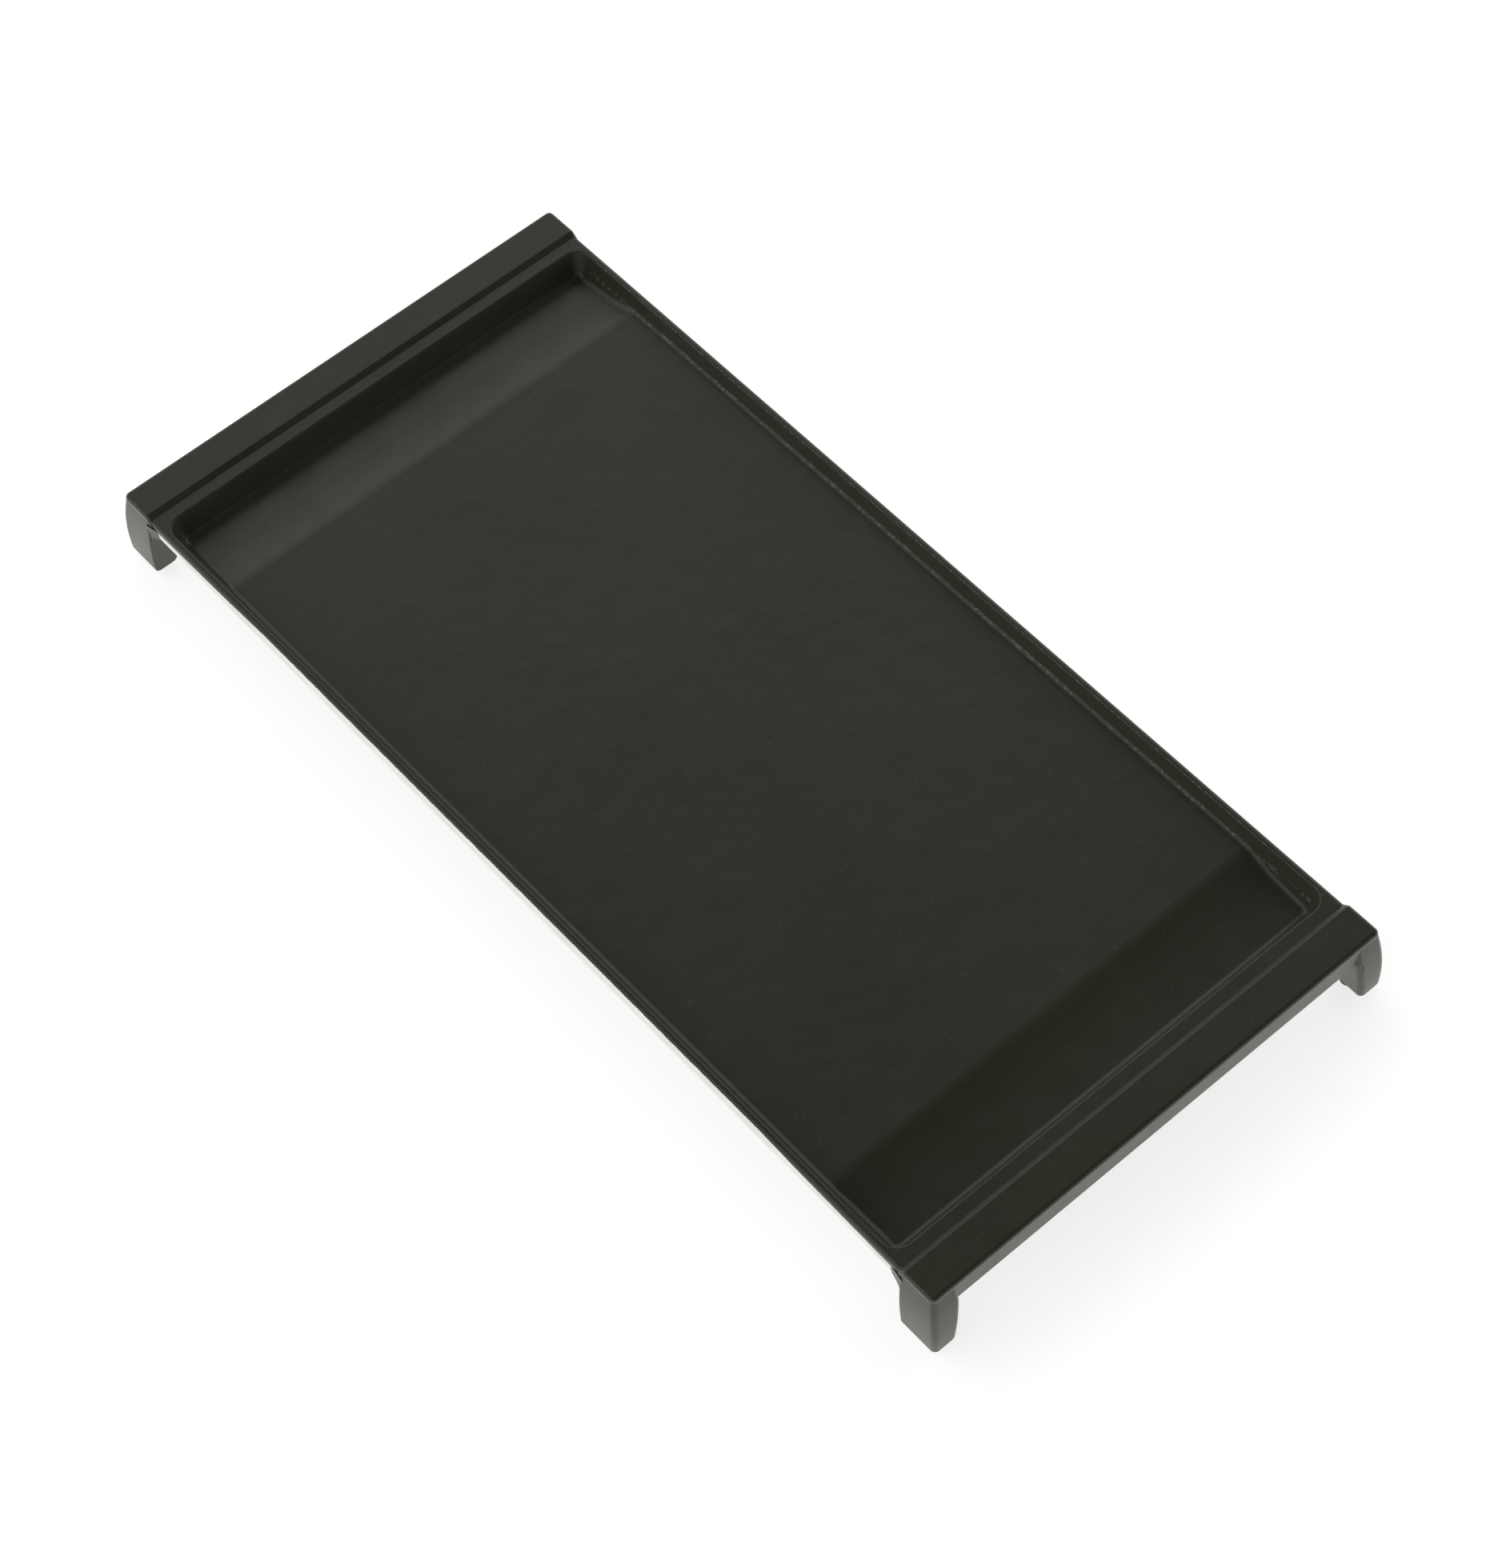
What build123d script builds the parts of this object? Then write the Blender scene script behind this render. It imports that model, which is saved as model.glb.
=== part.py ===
from build123d import *
import os

# Centre griddle of a gas range: one cast tray with a flat cooking plate, a scooped
# grease trough at each end, raised end bars and four corner legs on rubber feet.
# Millimetres. X is the width, Y the length, +Z up; the feet stand on Z = 0 and the
# origin is under the middle of the plate.

# Overall
rim_span = 244.0  # across the two side rims
bar_span = 245.0  # across an end bar, a little proud of the rims
length = 530.0  # over the two end bars
casting_height = 40.7  # leg soles to the top of the end bars
foot_proud = 1.5  # rubber showing below each sole

# End bars, lips and rims
bar_width = 17.3
bar_front = 12.7  # height of the bar's outer face
bar_step = 1.9  # drop from the bar to the lip
bar_slope = 2.2  # run of that drop
root_depth = 6.2  # the bar's root, under the lip
root_inset = 1.5  # from a side rim's outer face to the root's end
lip_width = 8.2
rim_width = 3.3
rim_height = 3.6  # thickness of the lips
side_height = 9.1  # upright outer face of each long side
side_thick = 4.0

# Tray
plate_depth = 7.4  # cooking plate below the lip
trough_depth = 11.7  # trough floor below the lip, at the end wall
crease_y = 198.0  # where the plate turns down into a trough
scoop_y = 214.0  # where the trough's steeper curve eases
scoop_rise = 1.1  # height of that place above the trough floor
trough_flat_y = 236.0  # where the trough's curve comes level
wall_draft = 23.0  # degrees from upright
skin = 4.0  # thickness of the plate and the walls
shell_inset = 0.3  # from a side rim's outer face to the wall below it
mouth_corner = 8.0  # plan radius of the tray's mouth

# Legs
leg_width = 12.6  # along X, at the top
leg_depth = 18.0  # along Y, at the top
leg_taper = 3.4  # how far the inner side moves outwards by the sole
leg_back_taper = 1.5  # how far the back moves outwards by the sole
leg_swell_x = 2.2  # the outer side's bulge past the bar's end
leg_swell_y = 3.3  # the end face's bulge past the bar's outer face
leg_swell_z = 8.0  # height of the fullest point above the sole
leg_sunk = 0.1  # how far inside the bar's faces the swell starts
leg_top = 2.5  # from the start of the swell up to the top of the bar
leg_heel = 3.0  # rounding of the sole's inner edge
leg_toe_in = 0.3  # how far the sole's edge lies inside the fullest point
gusset = 6.0  # hollow radius behind each leg, under the side
gusset_proud = 1.2  # how far it flares out past the side, at the leg
gusset_inset = 1.0  # from the leg's inner plane to the gusset

# Underside
pocket_wall = 4.2  # skirt left at the bar's outer face
pocket_roof = 4.5
pocket_inset = 6.5  # from the tray's mouth to the pockets
pocket_round = 3.0
web_count = 5
web_thick = 3.2
rib_x = 58.0
rib_height = 3.0
rib_thick = 4.0
rib_rows = 3
rib_end_gap = 14.0  # from a crease to the ends of the long ribs
rib_side_gap = 8.0  # from the tray's mouth to the ends of the cross ribs
rib_edge = 1.2

# Rubber feet
foot_radius = 4.0
stem_radius = 2.45
stem_length = 6.0
bore_clearance = 0.05
bore_extra = 0.5  # depth of the bore beyond the stem
disc_edge = 0.5
stem_tip = 0.8

# Rounding
bar_corner = 2.6
bar_edge = 2.0
step_round = 1.3
crease_round = 18.0
rim_edge = 2.2
side_under = 2.0
mouth_edge = 1.0
trough_round = 3.0
leg_corner = 2.4
leg_toe = 2.6
leg_front = 2.4
leg_inner = 0.6

# How far solids that are joined run into each other, and how far cutters run past
overlap = 0.5
beyond = 10.0
touch = 0.1  # slack when edges and corners are picked by their place

# Levels worked out from the dimensions above
z_sole = foot_proud
z_bar = z_sole + casting_height
z_lip = z_bar - bar_step
z_plate = z_lip - plate_depth
z_trough = z_lip - trough_depth
z_skirt = z_bar - bar_front
z_rim = z_lip - rim_height
z_side = z_lip - side_height
y_end = length / 2
y_bar = y_end - bar_width
y_mouth = y_bar - lip_width
x_rim = rim_span / 2
x_mouth = x_rim - rim_width
x_leg = x_rim - leg_width
y_leg = y_end - leg_depth


def downward(z):
    """A plane at height z whose extrusions go down."""
    return Plane(origin=(0, 0, z), x_dir=(1, 0, 0), z_dir=(0, 0, -1))


def across(face, half_width):
    """A face drawn in the YZ plane, extruded evenly to both sides."""
    return extrude(face, amount=half_width, both=True)


def above_floor(drop):
    """Everything above the plate and troughs, lowered by drop."""
    high = z_bar + beyond
    plate = z_plate - drop
    trough = z_trough - drop
    flat = Polyline((crease_y, plate), (-crease_y, plate))
    easy = TangentArc((trough_flat_y, trough), (scoop_y, trough + scoop_rise), tangent=(-1, 0))
    steep = TangentArc(easy @ 1, (crease_y, plate), tangent=easy % 1)
    scoops = [easy, steep, mirror(easy, about=Plane.YZ), mirror(steep, about=Plane.YZ)]
    closing = Polyline(
        (trough_flat_y, trough),
        (y_end + beyond, trough),
        (y_end + beyond, high),
        (-y_end - beyond, high),
        (-y_end - beyond, trough),
        (-trough_flat_y, trough),
    )
    face = make_face([flat.edge()] + [scoop.edge() for scoop in scoops] + closing.edges())
    creases = [v for v in face.vertices() if abs(abs(v.X) - crease_y) < touch]
    return across(Plane.YZ * fillet(creases, crease_round), rim_span)


def tray_hollow():
    """The space inside the tray: drafted walls, rounded where they meet the floor."""
    mouth = downward(z_lip) * RectangleRounded(2 * x_mouth, 2 * y_mouth, mouth_corner)
    hollow = extrude(mouth, amount=trough_depth + overlap, taper=wall_draft) & above_floor(0)
    return fillet([e for e in hollow.edges() if lies_on_wall_foot(e)], trough_round)


def lies_on_wall_foot(edge):
    """Edges between a wall and the floor, not those up a wall's corner or across the tray."""
    box = edge.bounding_box()
    across_tray = box.size.X > x_mouth and abs(edge.center().Y) < (crease_y + y_mouth) / 2
    return box.max.Z < z_plate + touch and not across_tray


def tray_shell():
    """The outside of the tray, parallel to its hollow, up to the middle of the rims."""
    outer_x = x_rim - shell_inset
    outer_y = y_mouth + skin + overlap
    top = downward(z_lip - rim_height / 2)
    rim = top * RectangleRounded(2 * outer_x, 2 * outer_y, mouth_corner + skin)
    return extrude(rim, amount=trough_depth + skin, taper=wall_draft) & above_floor(skin)


def rim_slab():
    """The flat flange of the rims and lips, with an upright skirt down each long side."""
    slab = Pos(0, 0, (z_lip + z_rim) / 2) * Box(rim_span, 2 * (y_bar + bar_width / 4), rim_height)
    skirt = Box(side_thick, 2 * (y_leg + overlap), side_height)
    for x in (-x_rim + side_thick / 2, x_rim - side_thick / 2):
        slab += Pos(x, 0, (z_lip + z_side) / 2) * skirt
    outer = [e for e in slab.edges().filter_by(Axis.Y) if abs(e.center().X) > x_rim - touch]
    slab = fillet([e for e in outer if e.center().Z > z_lip - touch], rim_edge)
    outer = [e for e in slab.edges().filter_by(Axis.Y) if abs(e.center().X) > x_rim - touch]
    return fillet([e for e in outer if e.center().Z < z_side + touch], side_under)


def end_bar():
    """One raised bar at +Y, whose inner side slopes down through the lip, on a root."""
    sunk = z_lip - overlap
    slope_end = y_bar - bar_slope * (z_bar - sunk) / bar_step
    section = Polygon(
        (slope_end, z_skirt),
        (slope_end, sunk),
        (y_bar, z_bar),
        (y_end, z_bar),
        (y_end, z_skirt),
        align=None,
    )
    brow = [v for v in section.vertices() if abs(v.X - y_bar) < touch]
    section = fillet(brow, step_round)
    bar = across(Plane.YZ * section, bar_span / 2)
    uprights = bar.edges().filter_by(Axis.Z).group_by(Axis.Y)[-1]
    bar = fillet(uprights, bar_corner)
    top = bar.faces().sort_by(Axis.Z)[-1]
    outer = [e for e in top.edges() if e.center().Y > y_bar + step_round]
    bar = fillet(outer, bar_edge)
    root_height = z_rim + overlap - z_skirt
    root = Box(2 * (x_rim - root_inset), root_depth, root_height)
    return bar + Pos(0, y_bar - root_depth / 2, z_skirt + root_height / 2) * root


def leg_outline(outer, inner, taper, swell):
    """A leg seen along one axis: inner side tapered, outer side swollen, toe rounded."""
    top = z_bar - leg_top
    start = outer - leg_sunk
    full = outer + swell
    toe = full - leg_toe_in
    straight = Polyline(
        (start, top),
        (inner, top),
        (inner, z_skirt),
        (inner + taper, z_sole),
        (toe, z_sole),
    )
    swollen = ThreePointArc((toe, z_sole), (full, z_sole + leg_swell_z), (start, top))
    face = make_face(straight.edges() + [swollen.edge()])
    corner = [v for v in face.vertices() if v.X > outer and v.Y < z_sole + touch]
    return fillet(corner, leg_toe)


def corner_leg():
    """The leg at +X, +Y: a tapered block whose outer sides swell, on a rounded toe."""
    side = leg_outline(bar_span / 2, x_leg, leg_taper, leg_swell_x)
    heel = [v for v in side.vertices() if v.X < x_leg + leg_taper + touch and v.Y < z_sole + touch]
    side = fillet(heel, leg_heel)
    end = leg_outline(y_end, y_leg, leg_back_taper, leg_swell_y)
    leg = across(Plane.XZ * side, length) & across(Plane.YZ * end, length)
    leg = fillet([e for e in leg.edges() if is_outer(e)], leg_corner)
    leg = fillet([e for e in leg.edges() if upright(e) and is_front(e)], leg_front)
    return fillet([e for e in leg.edges() if upright(e) and is_back(e)], leg_inner)


def upright(edge):
    """Edges that climb more than they wander sideways."""
    size = edge.bounding_box().size
    return size.Z > leg_toe and size.Z > 3 * max(size.X, size.Y)


def is_outer(edge):
    """The edges, toe and all, between the two swollen sides."""
    middle = edge.center()
    long_enough = edge.bounding_box().size.Z > leg_swell_x / 2
    return long_enough and middle.X > x_rim - leg_corner and middle.Y > y_end - leg_corner


def is_front(edge):
    """The upright edges between a leg's end face and its inner side."""
    middle = edge.center()
    return middle.Y > y_end - leg_front and middle.X < x_rim - leg_width / 2


def is_back(edge):
    """The upright edges at a leg's back, below the bar."""
    middle = edge.center()
    return middle.Z < z_skirt and middle.Y < (y_leg + y_end) / 2


def leg_gusset():
    """The hollow-curved web behind a leg, under the side, flaring out to the leg, at +X, +Y."""
    near = y_leg - gusset
    buried = y_leg + 2 * overlap
    low = z_side - gusset
    top = z_rim
    outline = Polyline((y_leg, low), (buried, low), (buried, top), (near, top), (near, z_side))
    hollow = RadiusArc((near, z_side), (y_leg, low), gusset)
    face = make_face(outline.edges() + [hollow.edge()])
    start = x_leg + gusset_inset
    flared = x_rim + gusset_proud
    plan = Polygon(
        (start, near),
        (x_rim, near),
        (flared, y_leg),
        (flared, buried),
        (start, buried),
        align=None,
    )
    return across(Plane.YZ * face, rim_span) & extrude(plan, amount=z_bar)


def four_corners(solid):
    """A solid at +X, +Y, repeated at all four corners."""
    pair = [solid, mirror(solid, about=Plane.YZ)]
    return pair + [mirror(one, about=Plane.XZ) for one in pair]


def bar_pockets():
    """The cells cast into the underside of the bar at +Y, parted by webs."""
    near = y_mouth + pocket_inset
    far = y_end - pocket_wall
    reach = x_leg - pocket_wall
    pitch = 2 * reach / (web_count + 1)
    top = z_bar - pocket_roof
    cells = []
    for index in range(web_count + 1):
        middle = -reach + (index + 0.5) * pitch
        cell = Box(pitch - web_thick, far - near, 2 * (top - z_skirt))
        cell = fillet(cell.edges().filter_by(Axis.Z), pocket_round)
        cell = fillet(cell.faces().sort_by(Axis.Z)[-1].edges(), pocket_round / 2)
        cells.append(Pos(middle, (near + far) / 2, z_skirt) * cell)
    return cells


def under_ribs():
    """Low ribs under the cooking plate, two along it and some across."""
    tall = rib_height + overlap
    middle = z_plate - skin - rib_height + tall / 2
    reach = crease_y - rib_end_gap
    lattice = Pos(rib_x, 0, middle) * Box(rib_thick, 2 * reach, tall)
    lattice += Pos(-rib_x, 0, middle) * Box(rib_thick, 2 * reach, tall)
    for row in range(rib_rows):
        y = reach * (2 * row / (rib_rows - 1) - 1)
        lattice += Pos(0, y, middle) * Box(2 * (x_mouth - rib_side_gap), rib_thick, tall)
    lower = lattice.edges().group_by(Axis.Z)[0]
    return fillet(lower, rib_edge)


def on_mouth(edge):
    """Edges round the mouth of the tray, in the plane of the lip."""
    box = edge.bounding_box()
    level = box.min.Z > z_lip - touch
    inside = max(abs(box.min.X), abs(box.max.X)) < x_mouth + touch
    return level and inside and abs(edge.center().Y) < y_mouth + touch


def sole_centre():
    """The middle of the flat sole at +X, +Y, where a foot plugs in."""
    x = (x_leg + leg_taper + bar_span / 2 + leg_swell_x - leg_toe) / 2
    y = (y_leg + leg_back_taper + y_end + leg_swell_y - leg_toe) / 2
    return x, y


def griddle_casting():
    """The whole casting."""
    body = rim_slab() + tray_shell() - tray_hollow()
    body = fillet([e for e in body.edges() if on_mouth(e)], mouth_edge)
    bar = end_bar()
    for cell in bar_pockets():
        bar -= cell
    body = body + bar + mirror(bar, about=Plane.XZ) + under_ribs()
    for piece in four_corners(corner_leg()) + four_corners(leg_gusset()):
        body += piece
    x, y = sole_centre()
    bore = Pos(x, y, z_sole) * Cylinder(stem_radius + bore_clearance, 2 * (stem_length + bore_extra))
    for hole in four_corners(bore):
        body -= hole
    return body


def rubber_foot(x, y):
    """A push-in foot: a thin disc under the sole and a stem up into its bore."""
    disc = Pos(0, 0, foot_proud / 2) * Cylinder(foot_radius, foot_proud)
    disc = fillet(disc.edges().group_by(Axis.Z)[0], disc_edge)
    stem = Pos(0, 0, foot_proud + stem_length / 2) * Cylinder(stem_radius, stem_length)
    stem = fillet(stem.edges().group_by(Axis.Z)[-1], stem_tip)
    return Pos(x, y, 0) * (disc + stem)


os.makedirs("parts", exist_ok=True)
export_step(griddle_casting(), "parts/griddle_casting.step")
foot_x, foot_y = sole_centre()
for side, x in (("left", -foot_x), ("right", foot_x)):
    for end, y in (("front", -foot_y), ("back", foot_y)):
        export_step(rubber_foot(x, y), f"parts/foot_{end}_{side}.step")
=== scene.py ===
import math

import bpy
from mathutils import Matrix, Quaternion, Vector

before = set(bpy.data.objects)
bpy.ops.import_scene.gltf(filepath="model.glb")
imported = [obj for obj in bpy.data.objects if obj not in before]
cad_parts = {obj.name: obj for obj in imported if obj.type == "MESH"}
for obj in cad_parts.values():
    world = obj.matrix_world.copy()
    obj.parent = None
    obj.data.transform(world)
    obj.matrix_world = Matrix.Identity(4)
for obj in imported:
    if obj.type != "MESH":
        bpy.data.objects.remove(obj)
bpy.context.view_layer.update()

# Camera: aimed near the middle of the cooking plate, from the front left
AIM = Vector((-0.0139, -0.0352, 0.0329))
DISTANCE = 1.5667
AZIMUTH = math.radians(-37.38)
ELEVATION = math.radians(56.71)
ROLL = math.radians(-4.38)
LENS = 85.68

# Floor: a white sheet that glows, so that it comes out white
FLOOR_HALF = 6.0
FLOOR_COLOUR = (0.9, 0.9, 0.9, 1)
FLOOR_ROUGHNESS = 0.8
FLOOR_GLOW = 0.74

# Sky: a tent that is bright low down and at the back, dim overhead and towards the front.
# A direction's level is its z, plus tilt times its y and sides times the size of its x.
# Brightness falls from SKY_LOW to SKY_HIGH while the level goes from start to end.
SKY_COLOUR = (1, 0.995, 0.98, 1)
SKY_LOW = 0.85
SKY_HIGH = 0.10
SKY_TOP_START = 0.30
SKY_TOP_END = 0.68
SKY_TILT = -0.5
SKY_SIDES = -0.25

# Between these two values a noise gives most of its answers
NOISE_LOW = 0.3
NOISE_HIGH = 0.7

# Enamel: colours, roughness and the heights of its unevenness
COAT_DARK = (0.0360, 0.0392, 0.0210, 1)
COAT_LIGHT = (0.0435, 0.0455, 0.0265, 1)
COAT_SPECK = (0.16, 0.16, 0.14, 1)
COAT_SMOOTHEST = 0.28
COAT_ROUGHEST = 0.36
WAVE_HEIGHT = 0.00020
PEEL_HEIGHT = 0.00002

# Where on a noise the darker and the lighter colour of enamel and bare metal are reached
DARK_AT = 0.35
LIGHT_AT = 0.65

# The two long upright sides are ground bare between the legs. The metal shows from BARE_LOW
# to BARE_TOP, and its top edge comes down by BARE_DROP on the way from BARE_DROP_START to
# BARE_END, which are distances from the middle along y. BARE_X is one along x.
BARE_DARK = (0.74, 0.73, 0.70, 1)
BARE_LIGHT = (0.84, 0.83, 0.80, 1)
BARE_X = 0.1205
BARE_LOW = 0.0311
BARE_TOP = 0.0392
BARE_DROP = 0.0028
BARE_DROP_START = 0.165
BARE_END = 0.2405
BARE_RAGGED = 0.0001

# Painted highlight lines on the right, broken up like worn coat: x and z limits at the rim's
# inner edge and the wall's foot, and the noise values where the painted highlight starts and is
# complete
PAINTED_HIGHLIGHT = (0.13, 0.13, 0.115, 1)
PAINTED_HIGHLIGHT_RIM = (0.1181, 0.1190, 0.0396, 0.0405)
PAINTED_HIGHLIGHT_FOOT = (0.1150, 0.1162, 0.0328, 0.0345)
HIGHLIGHT_FROM = 0.50
HIGHLIGHT_FULL = 0.66

# Rubber feet: colours, where on a noise they are reached, roughness and depth of the grain
RUBBER_DARK = (0.010, 0.010, 0.011, 1)
RUBBER_LIGHT = (0.022, 0.022, 0.023, 1)
RUBBER_DARK_AT = 0.40
RUBBER_LIGHT_AT = 0.65
RUBBER_SMOOTHEST = 0.62
RUBBER_ROUGHEST = 0.82
RUBBER_GRAIN = 0.00005


def link(node_tree, source, target):
    node_tree.links.new(source, target)


def add_camera():
    data = bpy.data.cameras.new("camera")
    data.lens = LENS
    data.sensor_width = 36.0
    data.clip_end = 50.0
    camera = bpy.data.objects.new("camera", data)
    bpy.context.scene.collection.objects.link(camera)
    flat = math.cos(ELEVATION)
    back = Vector((math.sin(AZIMUTH) * flat, -math.cos(AZIMUTH) * flat, math.sin(ELEVATION)))
    turn = back.to_track_quat("Z", "Y") @ Quaternion((0, 0, 1), ROLL)
    camera.matrix_world = Matrix.Translation(AIM + back * DISTANCE) @ turn.to_matrix().to_4x4()
    bpy.context.scene.camera = camera


def add_floor():
    mesh = bpy.data.meshes.new("floor")
    half = FLOOR_HALF
    corners = [(-half, -half, 0), (half, -half, 0), (half, half, 0), (-half, half, 0)]
    mesh.from_pydata(corners, [], [(0, 1, 2, 3)])
    floor = bpy.data.objects.new("floor", mesh)
    bpy.context.scene.collection.objects.link(floor)
    material = bpy.data.materials.new("floor")
    material.use_nodes = True
    shader = material.node_tree.nodes["Principled BSDF"]
    shader.inputs["Base Color"].default_value = FLOOR_COLOUR
    shader.inputs["Roughness"].default_value = FLOOR_ROUGHNESS
    shader.inputs["Specular IOR Level"].default_value = 0.0
    shader.inputs["Emission Color"].default_value = (1, 1, 1, 1)
    shader.inputs["Emission Strength"].default_value = FLOOR_GLOW
    mesh.materials.append(material)


def add_world():
    """The sky's brightness follows the level of each direction."""
    world = bpy.data.worlds.new("studio")
    world.use_nodes = True
    tree = world.node_tree
    x, y, z = parted(tree, tree.nodes.new("ShaderNodeTexCoord").outputs["Generated"])
    tilt = calculated(tree, "MULTIPLY", y, SKY_TILT)
    sides = calculated(tree, "MULTIPLY", calculated(tree, "ABSOLUTE", x), SKY_SIDES)
    level = calculated(tree, "ADD", calculated(tree, "ADD", z, tilt), sides)
    fall = remapped(tree, level, SKY_TOP_START, SKY_TOP_END, SKY_LOW, SKY_HIGH)
    fall.node.interpolation_type = "SMOOTHSTEP"
    link(tree, fall, tree.nodes["Background"].inputs["Strength"])
    tree.nodes["Background"].inputs["Color"].default_value = SKY_COLOUR
    bpy.context.scene.world = world


def new_material(name):
    material = bpy.data.materials.new(name)
    material.use_nodes = True
    return material, material.node_tree, material.node_tree.nodes["Principled BSDF"]


def noise(tree, place, scale, detail):
    node = tree.nodes.new("ShaderNodeTexNoise")
    node.inputs["Scale"].default_value = scale
    node.inputs["Detail"].default_value = detail
    link(tree, place, node.inputs["Vector"])
    return node.outputs["Fac"]


def ramp(tree, value, low, high):
    """A colour that turns from low's to high's; each is (position, colour)."""
    node = tree.nodes.new("ShaderNodeValToRGB")
    for element, (position, colour) in zip(node.color_ramp.elements, (low, high)):
        element.position = position
        element.color = colour
    link(tree, value, node.inputs["Fac"])
    return node.outputs["Color"]


def remapped(tree, value, from_min, from_max, to_min, to_max):
    node = tree.nodes.new("ShaderNodeMapRange")
    node.inputs["From Min"].default_value = from_min
    node.inputs["From Max"].default_value = from_max
    node.inputs["To Min"].default_value = to_min
    node.inputs["To Max"].default_value = to_max
    link(tree, value, node.inputs["Value"])
    return node.outputs["Result"]


def calculated(tree, operation, first, second=None):
    """A Math node's answer; second is a number or another node's output."""
    node = tree.nodes.new("ShaderNodeMath")
    node.operation = operation
    link(tree, first, node.inputs[0])
    if isinstance(second, float):
        node.inputs[1].default_value = second
    elif second is not None:
        link(tree, second, node.inputs[1])
    return node.outputs[0]


def product(tree, *factors):
    answer = factors[0]
    for factor in factors[1:]:
        answer = calculated(tree, "MULTIPLY", answer, factor)
    return answer


def mixed(tree, share, colour, other):
    """The colour, with share of the other laid over it; other is fixed or an output."""
    node = tree.nodes.new("ShaderNodeMix")
    node.data_type = "RGBA"
    if isinstance(other, tuple):
        node.inputs["B"].default_value = other
    else:
        link(tree, other, node.inputs["B"])
    link(tree, share, node.inputs["Factor"])
    link(tree, colour, node.inputs["A"])
    return node.outputs["Result"]


def specks(tree, place, scale, share, size):
    """Small dots at the middle of a random share of the cells."""
    cells = tree.nodes.new("ShaderNodeTexVoronoi")
    cells.inputs["Scale"].default_value = scale
    link(tree, place, cells.inputs["Vector"])
    chance = tree.nodes.new("ShaderNodeSeparateColor")
    link(tree, cells.outputs["Color"], chance.inputs["Color"])
    picked = calculated(tree, "GREATER_THAN", chance.outputs["Red"], 1.0 - share)
    dot = remapped(tree, cells.outputs["Distance"], 0.5 * size, size, 1, 0)
    return product(tree, picked, dot)


def parted(tree, place):
    """The place's x, y and z."""
    axes = tree.nodes.new("ShaderNodeSeparateXYZ")
    link(tree, place, axes.inputs[0])
    return axes.outputs["X"], axes.outputs["Y"], axes.outputs["Z"]


def ground_sides(tree, place):
    """1 where the long sides' upright faces are ground bare, 0 elsewhere."""
    x, y, height = parted(tree, place)
    across = calculated(tree, "ABSOLUTE", x)
    along = calculated(tree, "ABSOLUTE", y)
    unrest = noise(tree, place, scale=260, detail=3)
    wander = remapped(tree, unrest, NOISE_LOW, NOISE_HIGH, -BARE_RAGGED, BARE_RAGGED)
    drop = remapped(tree, along, BARE_DROP_START, BARE_END, 0, BARE_DROP)
    level = calculated(tree, "ADD", calculated(tree, "ADD", height, drop), wander)
    below_top = calculated(tree, "LESS_THAN", level, BARE_TOP)
    above_low = calculated(tree, "GREATER_THAN", height, BARE_LOW)
    outside = calculated(tree, "GREATER_THAN", across, BARE_X)
    between_legs = calculated(tree, "LESS_THAN", along, BARE_END)
    return product(tree, below_top, above_low, outside, between_legs)


def painted_highlight_line(tree, place, edge):
    """How strong the painted highlight is: a broken line inside edge's x and z limits, 0
    elsewhere.
    """
    x, _, z = parted(tree, place)
    low_x, high_x, low_z, high_z = edge
    breaks = noise(tree, place, scale=480, detail=4)
    patches = remapped(tree, breaks, HIGHLIGHT_FROM, HIGHLIGHT_FULL, 0, 1)
    past_low_x = calculated(tree, "GREATER_THAN", x, low_x)
    within_high_x = calculated(tree, "LESS_THAN", x, high_x)
    past_low_z = calculated(tree, "GREATER_THAN", z, low_z)
    within_high_z = calculated(tree, "LESS_THAN", z, high_z)
    return product(tree, patches, past_low_x, within_high_x, past_low_z, within_high_z)


def bump(tree, height, distance, normal=None):
    """A normal that follows height, over the normal given, if any."""
    node = tree.nodes.new("ShaderNodeBump")
    node.inputs["Distance"].default_value = distance
    link(tree, height, node.inputs["Height"])
    if normal is not None:
        link(tree, normal, node.inputs["Normal"])
    return node.outputs["Normal"]


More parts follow.
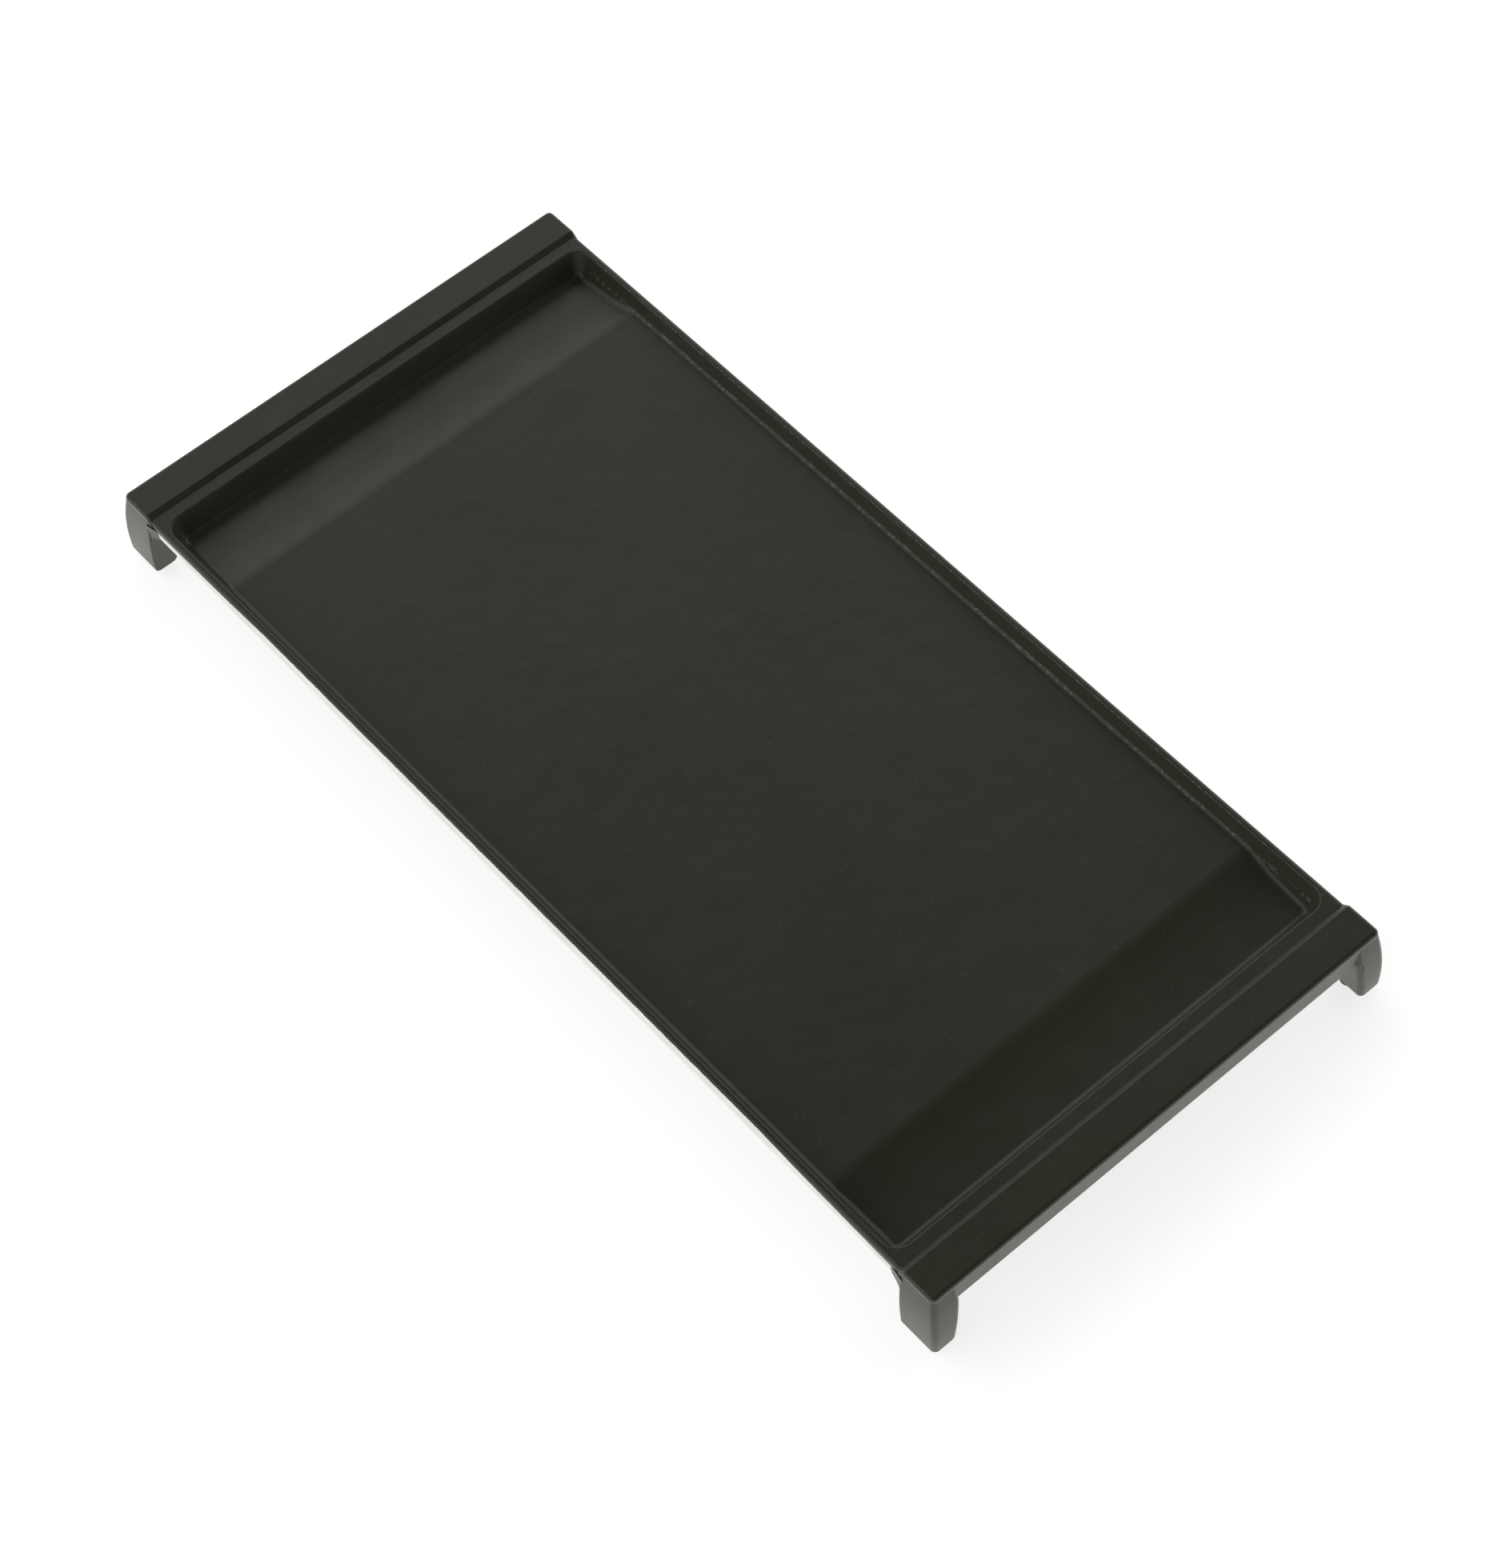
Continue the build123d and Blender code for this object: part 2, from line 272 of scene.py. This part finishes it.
def enamel():
    """Satin olive-black enamel with specks, broken painted highlight lines and an uneven skin;
    bare on the long sides.
    """
    material, tree, shader = new_material("enamel_coat")
    place = tree.nodes.new("ShaderNodeTexCoord").outputs["Object"]
    mottle = noise(tree, place, scale=16, detail=5)
    tint = ramp(tree, mottle, (DARK_AT, COAT_DARK), (LIGHT_AT, COAT_LIGHT))
    speck = specks(tree, place, scale=420, share=0.060, size=0.15)
    coat = mixed(tree, speck, tint, COAT_SPECK)
    # Painted highlight: lighter broken lines along the right rim's inner edge and the right
    # wall's foot
    coat = mixed(tree, painted_highlight_line(tree, place, PAINTED_HIGHLIGHT_RIM), coat, PAINTED_HIGHLIGHT)
    coat = mixed(tree, painted_highlight_line(tree, place, PAINTED_HIGHLIGHT_FOOT), coat, PAINTED_HIGHLIGHT)
    haze = noise(tree, place, scale=60, detail=4)
    metal = ramp(tree, haze, (DARK_AT, BARE_DARK), (LIGHT_AT, BARE_LIGHT))
    bare = ground_sides(tree, place)
    link(tree, mixed(tree, bare, coat, metal), shader.inputs["Base Color"])
    link(tree, bare, shader.inputs["Metallic"])
    roughness = remapped(tree, haze, NOISE_LOW, NOISE_HIGH, COAT_SMOOTHEST, COAT_ROUGHEST)
    link(tree, roughness, shader.inputs["Roughness"])
    waves = noise(tree, place, scale=70, detail=2)
    skin = bump(tree, waves, WAVE_HEIGHT)
    peel = noise(tree, place, scale=520, detail=2)
    skin = bump(tree, peel, PEEL_HEIGHT, skin)
    link(tree, skin, shader.inputs["Normal"])
    return material


def rubber():
    """Matt black rubber with a dusty, finely grained skin."""
    material, tree, shader = new_material("foot_rubber")
    place = tree.nodes.new("ShaderNodeTexCoord").outputs["Object"]
    dust = noise(tree, place, scale=350, detail=6)
    tint = ramp(tree, dust, (RUBBER_DARK_AT, RUBBER_DARK), (RUBBER_LIGHT_AT, RUBBER_LIGHT))
    link(tree, tint, shader.inputs["Base Color"])
    roughness = remapped(tree, dust, NOISE_LOW, NOISE_HIGH, RUBBER_SMOOTHEST, RUBBER_ROUGHEST)
    link(tree, roughness, shader.inputs["Roughness"])
    grain = noise(tree, place, scale=2500, detail=3)
    link(tree, bump(tree, grain, RUBBER_GRAIN), shader.inputs["Normal"])
    return material


def dress(node, material):
    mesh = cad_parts[node].data
    mesh.materials.clear()
    mesh.materials.append(material)


bpy.context.scene.view_settings.view_transform = "Standard"
add_camera()
add_floor()
add_world()
dress("griddle_casting", enamel())
foot_rubber = rubber()
for name in ("foot_front_left", "foot_front_right", "foot_back_left", "foot_back_right"):
    dress(name, foot_rubber)
